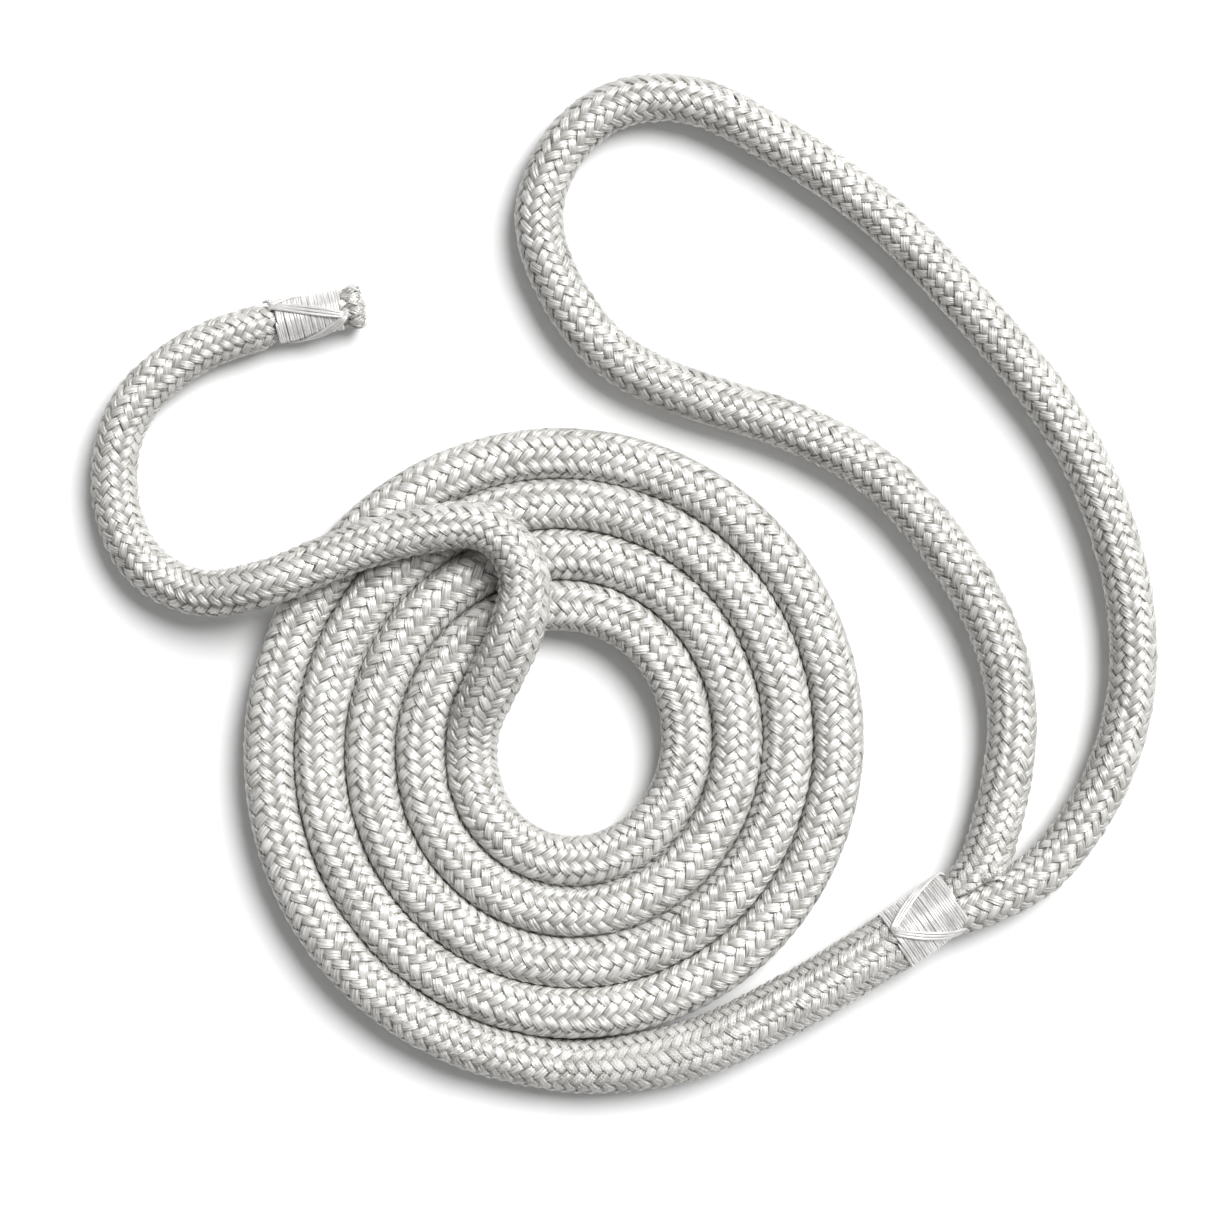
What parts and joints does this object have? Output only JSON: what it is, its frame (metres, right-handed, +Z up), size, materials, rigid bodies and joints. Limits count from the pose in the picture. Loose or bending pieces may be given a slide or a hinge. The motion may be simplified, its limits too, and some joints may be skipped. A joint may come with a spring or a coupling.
{
  "type": "dock line",
  "caption": "Double-braid mooring rope lying in a flat spiral coil, with a spliced eye, a whipped throat and a whipped bitter end.",
  "frame": {"origin": "on the surface that the line lies on, under the middle of its bounding box", "axes": "+Z up from the surface; +Y from the coil towards the crown of the eye; +X from the tail towards the eye's far leg"},
  "size_m": [0.412, 0.3925, 0.0395],
  "materials": {
    "braided_cover": "silky off-white nylon braid",
    "braided_core": "soft white nylon braid",
    "whipping_twine": "waxed white twine"
  },
  "bodies": {
    "root": {"whipped_end_cover": "braided_cover", "whipped_end_core": "braided_core", "end_whipping_wraps": "whipping_twine", "end_whipping_frapping": "whipping_twine", "tail_cover": "braided_cover", "tail_core": "braided_core", "coil_cover": "braided_cover", "coil_core": "braided_core", "splice_cover": "braided_cover", "splice_core": "braided_core", "buried_cover_tail": "braided_cover", "splice_lock_stitches": "whipping_twine", "throat_whipping_wraps": "whipping_twine", "throat_whipping_frapping": "whipping_twine", "eye_near_leg_cover": "braided_cover", "eye_near_leg_core": "braided_core", "eye_crown_cover": "braided_cover", "eye_crown_core": "braided_core", "eye_far_leg_cover": "braided_cover", "eye_far_leg_core": "braided_core"}
  },
  "joints": []
}
